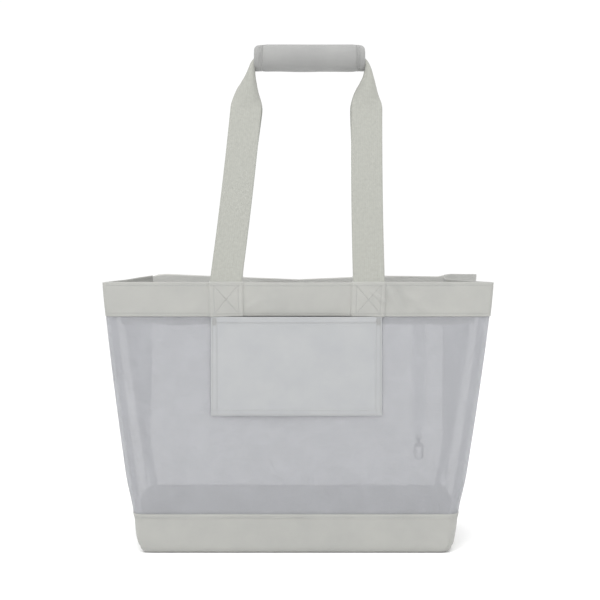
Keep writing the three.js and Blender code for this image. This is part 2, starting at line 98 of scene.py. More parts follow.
def corner_round(z):
    """The radius of the walls' upright corners: sharp seams that open out where they meet the boot."""
    return CORNER_ROUND * smooth(down(z), 0.82, 1.0)


def wall_depth(x, z):
    """The front and back walls' distance from the middle, which falls away round their upright corners."""
    radius = corner_round(z) + 0.01 * MM
    past = np.clip(np.abs(x) - half_width(z) + radius, 0, radius)
    return half_depth(z) - radius + np.sqrt(radius**2 - past**2)


def stack(*parts):
    """Joins coordinates into points, each an array or a number."""
    return np.stack(np.broadcast_arrays(*parts), -1)


def unit(vectors):
    return vectors / np.linalg.norm(vectors, axis=-1, keepdims=True)


def bell(x, centre, width):
    return np.exp(-(((x - centre) / width) ** 2))


def smooth(x, low, high):
    """Eases from 0 at low to 1 at high."""
    t = np.clip((x - low) / (high - low), 0, 1)
    return t * t * (3 - 2 * t)


def crumple(points, scale, height, seed):
    """A soft random unevenness, one value for each point."""
    shift = Vector((seed * 7.3, seed * 3.1, seed * 5.7))
    flat = points.reshape(-1, 3)
    values = [noise.noise(Vector(p) / scale + shift) for p in flat.tolist()]
    return height * np.array(values).reshape(points.shape[:-1])


# ---- camera, light and floor ----

LIGHT_AIM = (0, 0, 0.3)
# Each light's name, place, size and power.
LIGHTS = (("top", (0, -0.8, 3.0), 2.4, 42), ("key", (-1.4, -2.6, 2.4), 2.2, 45),
          ("fill", (1.8, -2.2, 1.2), 2.2, 10))
WORLD_STRENGTH = 1.03
FLOOR_HALF = 6.0
CAMERA_AT = (2.425 * MM, -1544.1 * MM, 418.2 * MM)
CAMERA_TILT = math.radians(90 - 4.007)
CAMERA_LENS = 71.88
SENSOR_WIDTH = 36.0


def placed(name, data):
    """A new object in the scene."""
    made = bpy.data.objects.new(name, data)
    bpy.context.scene.collection.objects.link(made)
    return made


def add_camera():
    data = bpy.data.cameras.new("camera")
    data.lens = CAMERA_LENS
    data.sensor_width = SENSOR_WIDTH
    camera = placed("camera", data)
    camera.location = CAMERA_AT
    camera.rotation_euler = (CAMERA_TILT, 0, 0)
    bpy.context.scene.camera = camera


def add_light(name, at, size, power):
    data = bpy.data.lights.new(name, "AREA")
    data.energy = power
    data.size = size
    light = placed(name, data)
    light.location = at
    light.rotation_euler = (Vector(LIGHT_AIM) - Vector(at)).to_track_quat("-Z", "Y").to_euler()


def add_world():
    world = bpy.data.worlds.new("studio")
    world.use_nodes = True
    background = world.node_tree.nodes["Background"]
    background.inputs["Color"].default_value = (1, 1, 1, 1)
    background.inputs["Strength"].default_value = WORLD_STRENGTH
    bpy.context.scene.world = world


def add_floor():
    mesh = bpy.data.meshes.new("floor")
    corners = [(x * FLOOR_HALF, y * FLOOR_HALF, 0) for x, y in ((-1, -1), (1, -1), (1, 1), (-1, 1))]
    mesh.from_pydata(corners, [], [(0, 1, 2, 3)])
    floor = placed("floor", mesh)
    floor.data.materials.append(floor_material())


# ---- materials ----

def new_material(name):
    material = bpy.data.materials.new(name)
    material.use_nodes = True
    shader = material.node_tree.nodes["Principled BSDF"]
    return material, material.node_tree, shader


def node(tree, kind, values=(), **settings):
    """A shader node; each input named in values gets a constant or a link from a socket."""
    made = tree.nodes.new(kind)
    for key, value in settings.items():
        setattr(made, key, value)
    for key, value in dict(values).items():
        if isinstance(value, bpy.types.NodeSocket):
            tree.links.new(value, made.inputs[key])
        else:
            made.inputs[key].default_value = value
    return made


def math_node(tree, operation, *values):
    return node(tree, "ShaderNodeMath", enumerate(values), operation=operation).outputs[0]


def map_range(tree, value, **ends):
    """A socket mapped to a new range, with ends such as From_Min or To_Max."""
    inputs = {key.replace("_", " "): end for key, end in ends.items()}
    return node(tree, "ShaderNodeMapRange", {"Value": value, **inputs}).outputs[0]


def cloth_uv(tree):
    """The cloth's own width and length in metres, as a vector and as two numbers."""
    source = node(tree, "ShaderNodeUVMap", uv_map="Cloth").outputs[0]
    split = node(tree, "ShaderNodeSeparateXYZ", {0: source})
    return source, split.outputs[0], split.outputs[1]


def waves(tree, coordinate, pitch):
    """A wave between -1 and 1 that repeats every pitch metres."""
    return math_node(tree, "SINE", math_node(tree, "MULTIPLY", coordinate, 2 * math.pi / pitch))


def weighted(tree, first, first_share, second, second_share):
    return math_node(tree, "ADD", math_node(tree, "MULTIPLY", first, first_share),
                     math_node(tree, "MULTIPLY", second, second_share))


def darker(colour, share):
    return [channel * share for channel in colour]


def tint(tree, shader, colour, shade, vector, scale, detail=4.0):
    """Colour that drifts between colour and shade with a soft noise."""
    blotches = node(tree, "ShaderNodeTexNoise",
                    {"Vector": vector, "Scale": scale, "Detail": detail, "Roughness": 0.6})
    share = map_range(tree, blotches.outputs["Fac"], From_Min=0.3, From_Max=0.7)
    mix = node(tree, "ShaderNodeMix", data_type="RGBA")
    mix.inputs["A"].default_value = (*colour, 1)
    mix.inputs["B"].default_value = (*shade, 1)
    tree.links.new(share, mix.inputs["Factor"])
    tree.links.new(mix.outputs["Result"], shader.inputs["Base Color"])


def scale_colour(tree, shader, factor):
    """Multiplies the colour that already feeds the shader."""
    fed = shader.inputs["Base Color"].links[0].from_socket
    scaled = node(tree, "ShaderNodeVectorMath", operation="SCALE")
    tree.links.new(fed, scaled.inputs[0])
    tree.links.new(factor, scaled.inputs["Scale"])
    tree.links.new(scaled.outputs[0], shader.inputs["Base Color"])


def paint_hollow_shade(tree, shader, height, amount):
    """Painted shade in the threads' hollows: they are coloured a little darker than their crowns; height runs
    from -1 to 1.
    """
    scale_colour(tree, shader, map_range(tree, height, From_Min=-1.0, From_Max=1.0, To_Min=1 - amount))


def paint_shade_downward(material, low, high, amount):
    """Painted shade: colour that darkens from one height down to another, standing in for the shade deep
    inside a bag.
    """
    tree, shader = material.node_tree, material.node_tree.nodes["Principled BSDF"]
    place = node(tree, "ShaderNodeTexCoord")
    split = node(tree, "ShaderNodeSeparateXYZ", {0: place.outputs["Object"]})
    scale_colour(tree, shader, map_range(tree, split.outputs["Z"], From_Min=low, From_Max=high,
                                         To_Min=1 - amount))


def bump(tree, shader, height, distance):
    made = node(tree, "ShaderNodeBump", {"Strength": 1.0, "Distance": distance, "Height": height})
    tree.links.new(made.outputs[0], shader.inputs["Normal"])


def set_surface(shader, roughness, sheen=0.0, specular=0.5):
    shader.inputs["Roughness"].default_value = roughness
    shader.inputs["Sheen Weight"].default_value = sheen
    shader.inputs["Specular IOR Level"].default_value = specular


def woven_material(name, colour, shade, pitch=0.7 * MM, depth=0.12 * MM):
    """Plain weave: warp and weft cross over and under in a checkerboard of short floats."""
    material, tree, shader = new_material(name)
    vector, across, along = cloth_uv(tree)
    crossing = math_node(tree, "MULTIPLY", waves(tree, across, 2 * pitch), waves(tree, along, 2 * pitch))
    threads = math_node(tree, "ADD", waves(tree, across, pitch), waves(tree, along, pitch))
    height = weighted(tree, threads, 0.3, crossing, 0.4)
    tint(tree, shader, colour, shade, vector, 22.0)
    # Painted shade: the plain weave's hollows are darkened in colour.
    paint_hollow_shade(tree, shader, height, 0.14)
    bump(tree, shader, height, depth)
    set_surface(shader, 0.82, 0.25, 0.3)
    return material


def webbing_material(name, colour, shade, pitch=1.5 * MM):
    """Heavy webbing: rows of slanting picks between lengthwise cords, with a dry, grainy face."""
    material, tree, shader = new_material(name)
    vector, across, along = cloth_uv(tree)
    cords = waves(tree, across, 2 * pitch)
    slant = math_node(tree, "MULTIPLY", math_node(tree, "ABSOLUTE", cords), 0.35 * pitch)
    picks = waves(tree, math_node(tree, "ADD", along, slant), pitch)
    height = weighted(tree, cords, 0.25, picks, 0.55)
    grain = node(tree, "ShaderNodeTexNoise", {"Vector": vector, "Scale": 420.0, "Detail": 3.0})
    tint(tree, shader, colour, shade, vector, 260.0, detail=6.0)
    # Painted shade: the webbing's hollows are darkened in colour.
    paint_hollow_shade(tree, shader, height, 0.12)
    bump(tree, shader, math_node(tree, "ADD", height, grain.outputs["Fac"]), 0.14 * MM)
    set_surface(shader, 0.88, 0.2, 0.25)
    return material


def net_material(name, colour, pitch=0.9 * MM, thin=0.42, dense=0.58):
    """Knitted mesh: a honeycomb of threads round open holes, which let what is behind show through."""
    material, tree, shader = new_material(name)
    vector, across, along = cloth_uv(tree)
    rows = waves(tree, along, pitch)
    sway = math_node(tree, "MULTIPLY", waves(tree, along, 2 * pitch), 0.25 * pitch)
    columns = waves(tree, math_node(tree, "ADD", across, sway), pitch)
    field = weighted(tree, rows, 0.5, columns, 0.5)
    cover = map_range(tree, field, From_Min=0.35, From_Max=-0.35, To_Min=thin, To_Max=dense)
    tree.links.new(cover, shader.inputs["Alpha"])
    tint(tree, shader, colour, darker(colour, 0.93), vector, 30.0)
    bump(tree, shader, field, -0.2 * MM)
    set_surface(shader, 0.7, 0.3, 0.3)
    return material


def grained_material(name, colour, shade, drift, grain, depth, roughness, sheen=0.0, kind="Noise",
                     **settings):
    """A small part's material: colour that drifts, and a fine grain of height depth."""
    material, tree, shader = new_material(name)
    place = node(tree, "ShaderNodeTexCoord").outputs["Object"]
    texture = node(tree, f"ShaderNodeTex{kind}", {"Vector": place, **grain}, **settings)
    tint(tree, shader, colour, shade, place, drift)
    bump(tree, shader, texture.outputs[0], depth)
    set_surface(shader, roughness, sheen)
    return material


def nickel_material(name):
    # The base colour is set far darker than bright nickel: a painted dark reflection of the bag's shaded
    # inside.
    material = grained_material(name, (0.30, 0.30, 0.31), (0.22, 0.22, 0.23), 350.0,
                                {"Scale": 900.0, "Detail": 8.0}, 0.03 * MM, 0.5)
    tree, shader = material.node_tree, material.node_tree.nodes["Principled BSDF"]
    scratches = tree.nodes["Noise Texture"].outputs[0]
    tree.links.new(map_range(tree, scratches, To_Min=0.08, To_Max=0.18), shader.inputs["Roughness"])
    shader.inputs["Metallic"].default_value = 1.0
    return material


def floor_material():
    material, tree, shader = new_material("floor_paper")
    place = node(tree, "ShaderNodeTexCoord").outputs["Object"]
    tint(tree, shader, (0.98, 0.98, 0.98), (0.975, 0.975, 0.975), place, 3.0)
    set_surface(shader, 0.9, specular=0.1)
    return material


# ---- mesh building ----

def grid_normals(points):
    normals = np.cross(np.gradient(points, axis=1), np.gradient(points, axis=0))
    return normals / np.maximum(np.linalg.norm(normals, axis=-1, keepdims=True), 1e-12)


def spread(low, high, step):
    """Evenly spaced places from low to high, about step apart."""
    return np.linspace(low, high, max(2, int(round((high - low) / step)) + 1))


def places(low, high, step, fine=()):
    """Places from low to high, step apart, and closer in each fine stretch (start, end, step)."""
    marks = list(spread(low, high, step))
    for start, end, fine_step in fine:
        start, end = max(start, low), min(end, high)
        marks = [m for m in marks if not start - step / 3 < m < end + step / 3 or m in (low, high)]
        marks += list(spread(start, end, fine_step))
    marks = sorted(marks)
    kept = [marks[0]]
    for mark in marks[1:]:
        if mark - kept[-1] > 0.05 * MM:
            kept.append(mark)
    return np.array(kept)


def make_object(name, vertices, faces, uvs, material):
    mesh = bpy.data.meshes.new(name)
    mesh.from_pydata(vertices.tolist(), [], faces)
    layer = mesh.uv_layers.new(name="Cloth")
    loops = np.zeros(len(mesh.loops), np.int32)
    mesh.loops.foreach_get("vertex_index", loops)
    layer.data.foreach_set("uv", uvs[loops].astype(np.float32).ravel())
    mesh.polygons.foreach_set("use_smooth", np.ones(len(mesh.polygons), bool))
    mesh.validate()
    mesh.materials.append(material)
    return placed(name, mesh)


def cloth_object(name, points, uvs, thick, material, edge_round=0.4):
    """A closed cloth piece: a grid of points with a thickness, and rounded cut or folded edges."""
    rows, cols = points.shape[:2]
    normals = grid_normals(points)
    half = np.broadcast_to(np.asarray(thick) / 2, (rows, cols))[..., None]
    front, back = ((points + way * normals * half).reshape(-1, 3) for way in (1, -1))
    index = np.arange(rows * cols).reshape(rows, cols)
    border = np.concatenate([index[0, :-1], index[:-1, -1], index[-1, :0:-1], index[:0:-1, 0]])
    out = np.zeros_like(points)
    out[0] += points[0] - points[1]
    out[-1] += points[-1] - points[-2]
    out[:, 0] += points[:, 0] - points[:, 1]
    out[:, -1] += points[:, -1] - points[:, -2]
    length = np.maximum(np.linalg.norm(out, axis=-1, keepdims=True), 1e-12)
    rim = (points + out / length * half * 2 * edge_round).reshape(-1, 3)[border]
    count = rows * cols
    vertices = np.concatenate([front, back, rim])
    flat_uvs = uvs.reshape(-1, 2)
    all_uvs = np.concatenate([flat_uvs, flat_uvs, flat_uvs[border]])
    squares = [index[:-1, :-1], index[:-1, 1:], index[1:, 1:], index[1:, :-1]]
    faces = np.stack(squares, -1).reshape(-1, 4).tolist()
    faces += (np.stack(squares[::-1], -1) + count).reshape(-1, 4).tolist()
    ring = 2 * count + np.arange(len(border))
    next_border, next_ring = np.roll(border, -1), np.roll(ring, -1)
    faces += np.stack([next_border, border, ring, next_ring], 1).tolist()
    faces += np.stack([next_ring, ring, border + count, next_border + count], 1).tolist()
    return make_object(name, vertices, faces, all_uvs, material)


def loft_object(name, rings, material):
    """A surface through equal rings of points, with closed ends."""
    rings = np.asarray(rings)
    count, size = rings.shape[:2]
    index = np.arange(count * size).reshape(count, size)
    after = np.roll(index, -1, axis=1)
    faces = np.stack([index[:-1], after[:-1], after[1:], index[1:]], -1).reshape(-1, 4).tolist()
    faces += [index[0][::-1].tolist(), index[-1].tolist()]
    around = np.linalg.norm(np.diff(rings, axis=1, append=rings[:, :1]), axis=-1)
    along = np.linalg.norm(np.diff(rings, axis=0), axis=-1).mean(axis=1)
    across = np.concatenate([[0], np.cumsum(around.max(axis=0))[:-1]])
    up = np.concatenate([[0], np.cumsum(along)])
    grid = stack(*np.meshgrid(across, up)).reshape(-1, 2)
    made = make_object(name, rings.reshape(-1, 3), faces, grid, material)
    make_outward(made)
    return made


def make_outward(made):
    """Turns a closed mesh's faces outward."""
    work = bmesh.new()
    work.from_mesh(made.data)
    bmesh.ops.recalc_face_normals(work, faces=work.faces)
    if work.calc_volume(signed=True) < 0:
        bmesh.ops.reverse_faces(work, faces=work.faces)
    work.to_mesh(made.data)
    work.free()


STITCH_RADIUS = 0.3 * MM
STITCH_SIDES = 6
STITCH_RINGS = ((0, -0.9, 0.6), (0.2, 0.25, 1), (0.5, 0.45, 1.05), (0.8, 0.25, 1), (1, -0.9, 0.6))


def stitch_vertices(start, end, normal, radius):
    """One stitch: a short thread that dips into the cloth at both ends."""
    start, end, normal = (np.asarray(v, float) for v in (start, end, normal))
    side = unit(np.cross(unit(end - start), normal))
    rings = []
    for share, lift, width in STITCH_RINGS:
        centre = start + (end - start) * share + normal * radius * lift
        for k in range(STITCH_SIDES):
            turn = k * 2 * math.pi / STITCH_SIDES
            rings.append(centre + radius * width * (math.cos(turn) * side + math.sin(turn) * normal))
    return rings


def stitches_object(name, runs, material, pitch=3.0 * MM, length=2.3 * MM):
    """Rows of stitches along each run, a pair of (points, normals)."""
    vertices, faces = [], []
    sides, last = range(STITCH_SIDES), STITCH_SIDES * (len(STITCH_RINGS) - 1)
    for points, normals in runs:
        points, normals = np.asarray(points), np.asarray(normals)
        steps = np.linalg.norm(np.diff(points, axis=0), axis=1)
        at = np.concatenate([[0], np.cumsum(steps)])

        def value(values, place):
            return np.array([np.interp(place, at, values[:, axis]) for axis in range(3)])

        for k in range(int((at[-1] - length) / pitch) + 1):
            start = k * pitch
            base = len(vertices)
            vertices += stitch_vertices(value(points, start), value(points, start + length),
                                        unit(value(normals, start + length / 2)), STITCH_RADIUS)
            for low in range(base, base + last, STITCH_SIDES):
                high = low + STITCH_SIDES
                for side in sides:
                    after = (side + 1) % STITCH_SIDES
                    faces.append((low + side, low + after, high + after, high + side))
            faces.append(tuple(base + side for side in reversed(sides)))
            faces.append(tuple(base + last + side for side in sides))
    vertices = np.array(vertices)
    return make_object(name, vertices, faces, vertices[:, :2], material)


def belong(piece, body, slot, replaced=()):
    """Hangs a piece on its body's empty and hides the CAD nodes it stands for. The slot argument is not used.
    """
    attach(piece, body)
    if replaced:
        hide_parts(*replaced)
    return piece


# ---- colours ----

TAPE = (0.82, 0.828, 0.84)
THREAD = (0.30, 0.302, 0.295)
PILE = (0.40, 0.40, 0.39)
BOARD = (0.26, 0.26, 0.25)

cloth = woven_material("cloth_weave", (0.36, 0.36, 0.34), (0.328, 0.33, 0.314))
pocket_cloth = woven_material("pocket_weave", (0.37, 0.376, 0.38), (0.34, 0.348, 0.358))
lining_cloth = woven_material("lining_weave", (0.66, 0.66, 0.65), (0.62, 0.62, 0.61), pitch=0.5 * MM)
# Painted shade: the lining darkens towards its floor, as the inside of the boot lies in shade.
paint_shade_downward(lining_cloth, 45 * MM, BASE_TOP_Z, 0.28)
# Painted light: a lighter copy of the band cloth, which brightens the bands' shaded inner faces.
painted_light_inner_cloth = woven_material("painted_light_inner_weave", (0.56, 0.56, 0.535), (0.52, 0.52, 0.50))
tape_cloth = woven_material("tape_rib", TAPE, darker(TAPE, 0.9), pitch=0.9 * MM, depth=0.2 * MM)
seam_cloth = woven_material("seam_tape_weave", (0.60, 0.61, 0.63), (0.56, 0.57, 0.59), pitch=0.6 * MM)
grip_cloth = woven_material("grip_weave", (0.295, 0.296, 0.290), (0.27, 0.271, 0.267), pitch=0.55 * MM)
webbing = webbing_material("webbing_weave", (0.345, 0.348, 0.318), (0.30, 0.304, 0.278))
net = net_material("knitted_net", (0.437, 0.444, 0.466))
thread = grained_material("sewing_thread", THREAD, darker(THREAD, 0.85), 900.0, {"Scale": 3000.0},
                          0.05 * MM, 0.55, 0.3)
hook_loop = grained_material("hook_and_loop_pile", PILE, darker(PILE, 0.75), 800.0, {"Scale": 1100.0},
                             0.6 * MM, 0.9, 0.5, "Voronoi", feature="SMOOTH_F1")
board = grained_material("stiffener_board", BOARD, darker(BOARD, 0.9), 40.0, {"Scale": 700.0, "Detail": 5.0},
                         0.1 * MM, 0.55)
nickel = nickel_material("nickel_plate")

add_camera()
add_world()
for light in LIGHTS:
    add_light(*light)
add_floor()
bpy.context.scene.view_settings.view_transform = "Standard"
bpy.context.scene.cycles.transparent_max_bounces = 24


# ---- the mesh walls ----

NET_TUCK = 2.5 * MM
NET_LOW, NET_HIGH = BASE_TOP_Z - NET_TUCK, BAND_LOW_Z + NET_TUCK
FOLD_SOFTNESS = 0.035


def net_wall(name, facing):
    """A front or back wall, sewn in under the band and the boot, with a slack, slightly rippled field."""
    u = np.concatenate([np.linspace(-1, -0.9, 17), np.linspace(-0.89, 0.89, 89), np.linspace(0.9, 1, 17)])
    uu, zz = np.meshgrid(u, places(NET_LOW, NET_HIGH, 5 * MM))
    x = uu * half_width(zz)
    share = (zz - NET_LOW) / (NET_HIGH - NET_LOW)
    slack = np.clip((1 - uu**2) * np.sin(np.pi * share), 0, None)
    ripple = crumple(stack(x, 0, zz) * [1, 1, 0.35], 60 * MM, 2.4 * MM, 3 if facing < 0 else 5)
    y = facing * (wall_depth(x, zz) + NET_THICK - 1.5 * MM * slack + ripple * slack**0.5)
    made = cloth_object(name, stack(x + lean(zz), y, zz), stack(x, zz), NET_THICK, net)
    return belong(made, "bag", "net", [name.replace("_net", "_mesh_panel")])


def gusset_fold(t):
    """How far out from the crease a place across the gusset is, from 0 at the crease to 1 at a corner."""
    rest = math.sqrt(1 + FOLD_SOFTNESS**2) - FOLD_SOFTNESS
    return (np.sqrt(t**2 + FOLD_SOFTNESS**2) - FOLD_SOFTNESS) / rest


def gusset_points(side, zz, tt, lift=0.0, inward=0.0):
    """Places on a folded side, with tt from -1 at its front corner to 1 at its back corner."""
    x = crease_x(zz) + (half_width(zz) - crease_x(zz)) * gusset_fold(tt)
    y = tt * (half_depth(zz) - 0.1 * MM - corner_round(zz))
    return stack(side * (x - inward) + lean(zz), y, zz + lift)


def gusset_grid(steps, crease_steps, z):
    """Places across a gusset, closer at its crease, and its heights."""
    return np.meshgrid(np.concatenate([np.linspace(-1, -0.12, steps), np.linspace(-0.1, 0.1, crease_steps),
                                       np.linspace(0.12, 1, steps)]), z)


def leaf_slack(tt):
    """The slack of a gusset's two leaves: full along the middle of each, none at its seams and crease."""
    return 1 - np.abs(2 * np.abs(tt) - 1) ** 2


def run_uvs(points, zz):
    """Cloth coordinates: the length along each row, and the height."""
    steps = np.linalg.norm(np.diff(points, axis=1, prepend=points[:, :1]), axis=-1)
    return stack(np.cumsum(steps, axis=1), zz)


def net_gusset(name, side):
    tt, zz = gusset_grid(20, 11, places(NET_LOW, NET_HIGH, 5 * MM))
    points = gusset_points(side, zz, tt, inward=NET_THICK)
    share = (zz - NET_LOW) / (NET_HIGH - NET_LOW)
    slack = np.clip(leaf_slack(tt) * np.sin(np.pi * share), 0, None)
    points[..., 0] -= side * slack * (2.5 * MM + crumple(points, 55 * MM, 2 * MM, 11 + side))
    made = cloth_object(name, points, run_uvs(points, zz), NET_THICK, net)
    return belong(made, "bag", "net", [name.replace("_net", "_mesh_gusset")])


front_net, back_net = net_wall("front_net", -1), net_wall("back_net", 1)
left_net, right_net = net_gusset("left_net", -1), net_gusset("right_net", 1)


# ---- the band round the rim ----

HEM_STRIP = 2.5 * MM
TOP_STITCH = 3.6 * MM
STRAP_WIDTH = 38 * MM
STRAP_THICK = 1.7 * MM
STRAP_COVER = 2.4 * MM
BOX_INSET = 4 * MM
ALLOWANCE = 10 * MM
ALLOWANCE_TUCK = 3 * MM
ALLOWANCE_INSET = 18 * MM
# Soft folds in the front band, in mm: height, start (x, z), end (x, z) and width.
BAND_CREASES = ((2.4, (112, 328), (128, 300), 3.2), (-1.9, (120, 332), (136, 303), 3.0),
                (1.9, (140, 320), (158, 300), 4.0), (1.3, (92, 325), (108, 312), 2.0),
                (1.1, (-62, 305), (-44, 318), 4.5))
# The rim's rise and fall, in mm: along the back from left to right, and round each side from front to back.
BACK_RIM = ([-240, -215, -200, -188, -178, -120, 0, 110, 150, 188, 200, 240],
            [-7.8, -3.4, -0.8, 2.4, 3.2, 0.6, -4.2, 0.6, 0.4, -0.2, 2.2, 3.0])
SIDE_RIMS = {-1: ([-1, -0.6, -0.3, 0, 0.25, 0.5, 0.75, 1], [0, 1.6, 3.6, 5.0, 2.6, -1.4, -4.7, -7.8]),
             1: ([-1, -0.5, -0.06, 0.05, 0.25, 1], [0, 0.2, 0.6, 5.6, 6.0, 3.0])}


def sewn_at(face):
    """Where a strap's two ends are sewn along the rim."""
    return [sum(corner.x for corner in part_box(f"{face}_strap_{hand}_end")) / 2 for hand in ("left", "right")]


FRONT_STRAPS, BACK_STRAPS = sewn_at("front"), sewn_at("back")


def band_share(z):
    return (z - BAND_LOW_Z) / (RIM_Z - BAND_LOW_Z)


def groove(distance, width=0.55 * MM, depth=0.32 * MM):
    return depth * bell(distance, 0, width)


def box_lines(x, z, centre):
    """Distance to the nearest line of a boxed X of stitches."""
    half = STRAP_WIDTH / 2 - BOX_INSET
    low = BAND_LOW_Z + HEM_STRIP
    high = RIM_Z - TOP_STITCH
    across = np.abs(x - centre)
    inside = across < half + 0.5 * MM
    upright = np.where((z > low) & (z < high), np.abs(across - half), 1)
    slope = (high - low) / (2 * half)
    rise = (high + low) / 2 + slope * (x - centre)
    fall = (high + low) / 2 - slope * (x - centre)
    diagonal = np.minimum(np.abs(z - rise), np.abs(z - fall)) / math.sqrt(1 + slope**2)
    return np.minimum(upright, np.where(inside, diagonal, 1))


def band_seams(z, low_depth):
    """The grooves of the band's two rows of stitches."""
    return groove(z - BAND_LOW_Z - HEM_STRIP, depth=low_depth) + groove(z - RIM_Z + TOP_STITCH)


def ridge(x, z, start, end, width):
    """A soft fold along a line between two points, each (x, z)."""
    start, end, width = np.array(start) * MM, np.array(end) * MM, width * MM
    run = end - start
    length = np.linalg.norm(run)
    run = run / length
    along = (x - start[0]) * run[0] + (z - start[1]) * run[1]
    off = (x - start[0]) * run[1] - (z - start[1]) * run[0]
    fade = smooth(along, -0.3 * length, 0.2 * length) * (1 - smooth(along, 0.8 * length, 1.3 * length))
    return bell(off, 0, width) * fade


def band_wall(name, facing, centres):
    fine = [(c - STRAP_WIDTH / 2 - 4 * MM, c + STRAP_WIDTH / 2 + 4 * MM, 0.7 * MM) for c in centres]
    x = places(-RIM_HALF_WIDTH, RIM_HALF_WIDTH, 4 * MM, fine)
    z = places(BAND_LOW_Z, RIM_Z, 0.75 * MM)
    xx, zz = np.meshgrid(x, z)
    share = band_share(zz)
    flat = stack(xx, 0, zz)
    soft = crumple(flat, 45 * MM, 1.0 * MM, 21 + facing) + crumple(flat, 16 * MM, 0.35 * MM, 24 + facing)
    if facing < 0:
        lift = -0.6 * MM * bell(xx, 0, 90 * MM)
        for height, start, end, width in BAND_CREASES:
            soft = soft + height * MM * ridge(xx, zz, start, end, width)
    else:
        lift = np.interp(xx / MM, *BACK_RIM) * MM
    held = smooth(share, 0, 0.25) * (1 - 0.5 * smooth(share, 0.8, 1))
    seams = band_seams(zz, 0.5 * MM)
    for centre in centres:
        seams = np.maximum(seams, groove(box_lines(xx, zz, centre), depth=0.55 * MM))
    over_strap = sum(smooth(STRAP_WIDTH / 2 + 3 * MM - np.abs(xx - c), 0, 3.5 * MM) for c in centres)
    thick = BAND_THICK + STRAP_COVER * over_strap - seams
    middle = half_depth(zz) + 0.25 * MM + thick / 2 + soft * held
    points = stack(xx / RIM_HALF_WIDTH * half_width(zz), facing * middle, zz + lift * share)
    made = cloth_object(name, points, flat[..., ::2], thick, cloth, edge_round=0.42)
    # The inner faces take the lighter copy of the cloth: painted light on the shaded inside of the band.
    made.data.materials.append(painted_light_inner_cloth)
    for polygon in made.data.polygons:
        polygon.material_index = int(polygon.normal.y * facing < -0.5)
    belong(made, "bag", "cloth", [name.replace("_band", "_top_band")])
    return made, (x, z, points, thick)


def band_allowance():
    """The front band's inner layer, which hangs a little below the outer one behind the mesh."""
    edge = RIM_HALF_WIDTH - ALLOWANCE_INSET
    xx, uu = np.meshgrid(places(-edge, edge, 5 * MM), np.linspace(0, 1, 8))
    hang = ALLOWANCE + crumple(stack(xx, 0, 0), 30 * MM, 2.5 * MM, 81)
    z = BAND_LOW_Z + ALLOWANCE_TUCK - (hang + ALLOWANCE_TUCK) * (1 - uu)
    x = xx * half_width(z) / RIM_HALF_WIDTH
    inside = wall_depth(x, z) - 1.4 * MM - 0.5 * MM * (1 - uu)
    made = cloth_object("front_band_allowance", stack(x, -inside, z), stack(xx, z), 0.6 * MM, cloth)
    return belong(made, "bag", "cloth")


def band_gusset(name, side):
    """A folded side of the band, which stands up along its crease."""
    tt, zz = gusset_grid(24, 17, places(BAND_LOW_Z, RIM_Z, 0.9 * MM))
    share = band_share(zz)
    lift = np.interp(tt, *SIDE_RIMS[side]) * MM * share
    points = gusset_points(side, zz, tt, lift=lift, inward=0.9 * MM)
    slack = np.clip(leaf_slack(tt), 0, None) * share
    points[..., 0] -= side * slack * (1.5 * MM + crumple(points, 35 * MM, 2.0 * MM, 31 + side))
    made = cloth_object(name, points, run_uvs(points, zz), 1.5 * MM - band_seams(zz, 0.4 * MM), cloth)
    return belong(made, "bag", "cloth", [name.replace("_band", "_top_band")])


front_band, front_band_grid = band_wall("front_band", -1, FRONT_STRAPS)
back_band, back_band_grid = band_wall("back_band", 1, BACK_STRAPS)
allowance = band_allowance()
left_band, right_band = band_gusset("left_band", -1), band_gusset("right_band", 1)


# ---- the boot round the base, and its lining ----

BOARD_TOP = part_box("base_board")[1].z
BOOT_EDGE_RADIUS = 8 * MM
BOOT_FLOOR_CORNER = 8 * MM
BOOT_BOTTOM_HALF_WIDTH = 194 * MM
BOOT_SIDE_CURVE = 0.6
BOOT_THICK = 1.7 * MM
BOOT_HEM = 5 * MM
BOOT_TOP_CORNER = 17.5 * MM
CORNER_STEPS = 8
LINING_INSET = 2.2 * MM


def boot_half_width(z):
    up = np.clip((z - BOOT_EDGE_RADIUS) / (BASE_TOP_Z - BOOT_EDGE_RADIUS), 0, 1)
    return BOOT_BOTTOM_HALF_WIDTH + (BASE_HALF_WIDTH - BOOT_BOTTOM_HALF_WIDTH) * up**BOOT_SIDE_CURVE


def edge_inset(z):
    """How far the rounded lower edge draws in."""
    left = np.clip(BOOT_EDGE_RADIUS - z, 0, BOOT_EDGE_RADIUS)
    return BOOT_EDGE_RADIUS - math.sqrt(BOOT_EDGE_RADIUS**2 - left**2)


def boot_ring(inset, z, radius):
    """A rounded rectangle of points, with its straight sides divided finely enough to ripple."""
    half_x = boot_half_width(z) - edge_inset(z) - inset
    half_y = BASE_HALF_DEPTH - edge_inset(z) - inset
    corners = []
    for quarter, (sx, sy) in enumerate(((1, 1), (-1, 1), (-1, -1), (1, -1))):
        turns = (quarter + np.linspace(0, 1, CORNER_STEPS + 1)) * math.pi / 2
        corners.append(stack(sx * (half_x - radius) + radius * np.cos(turns),
                             sy * (half_y - radius) + radius * np.sin(turns)))
    pieces = []
    for quarter in range(4):
        steps = 72 if quarter % 2 == 0 else 24
        start, end = corners[quarter][-1], corners[(quarter + 1) % 4][0]
        share = np.linspace(0, 1, steps + 1)[1:-1, None]
        pieces += [corners[quarter], start + (end - start) * share]
    ring = np.concatenate(pieces) + [lean(z), 0]
    return np.concatenate([ring, np.full((len(ring), 1), z)], 1)


